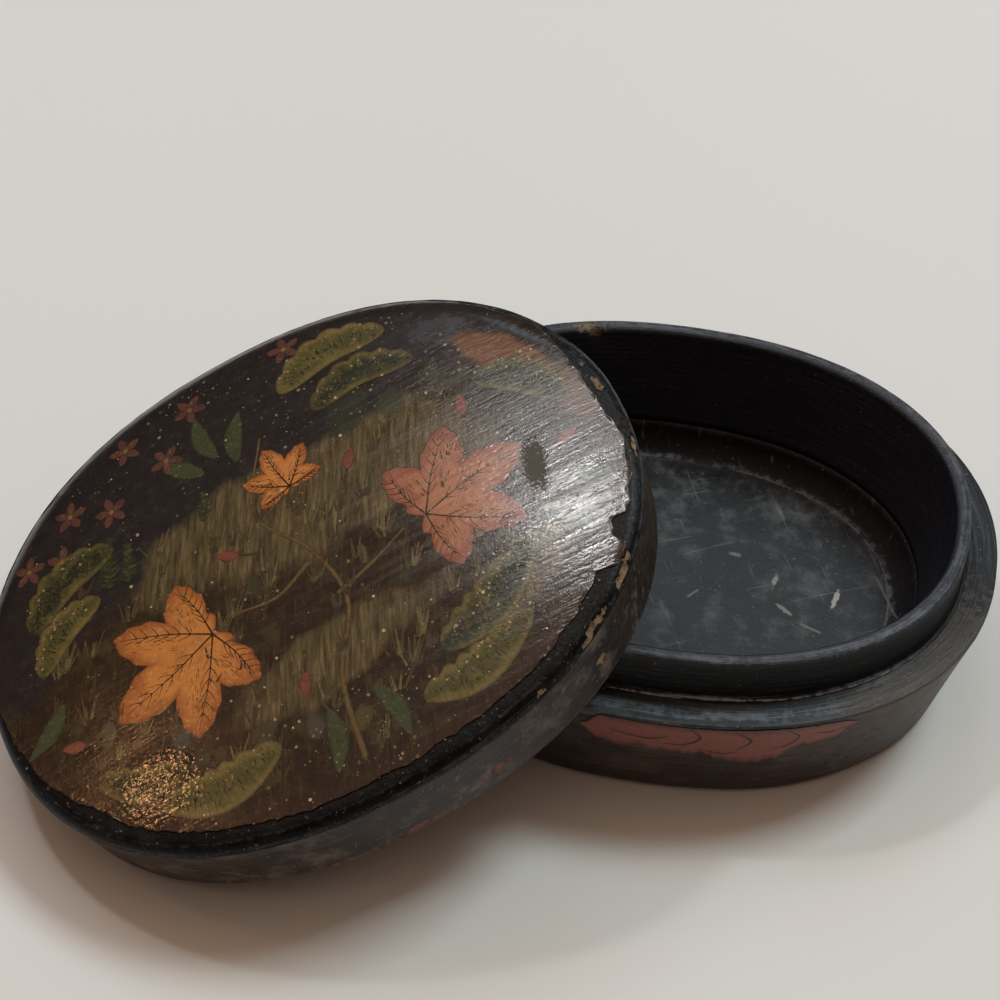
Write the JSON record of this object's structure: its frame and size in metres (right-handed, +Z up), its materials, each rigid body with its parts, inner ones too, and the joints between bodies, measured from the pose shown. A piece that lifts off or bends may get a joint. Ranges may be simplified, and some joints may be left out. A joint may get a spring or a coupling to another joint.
{
  "type": "oval lidded papier-mache box",
  "caption": "Oval lacquered papier-mache keepsake box with a lift-off lid: the lid's skirt slips over a collar that stands up from the base. Shown open, the lid leaning on the collar.",
  "frame": {"origin": "centre of the flat underside of the base", "axes": "+X along the base's long axis, +Y across it, +Z up out of the open box"},
  "size_m": [0.1663, 0.132, 0.0592],
  "materials": {
    "painted_side_lacquer": "papier-mache, dark brown lacquer with a painted band, satin",
    "black_inside_lacquer": "papier-mache, black lacquer, scuffed, matt",
    "black_collar_lacquer": "papier-mache, black lacquer, brushed, satin",
    "worn_skirt_lacquer": "papier-mache, worn grey-brown lacquer, satin",
    "painted_lid_lacquer": "papier-mache, painted and varnished, glossy"
  },
  "bodies": {
    "box": {"base_wall": "painted_side_lacquer", "base_floor": "black_inside_lacquer", "inner_collar": "black_collar_lacquer"},
    "lid": {"lid_skirt": "worn_skirt_lacquer", "lid_panel": "painted_lid_lacquer"}
  },
  "joints": [
    {"name": "lid_lift", "type": "slide", "parent": "box", "child": "lid", "axis": [0, 0, 1], "range_m": [0, 0.06]}
  ]
}
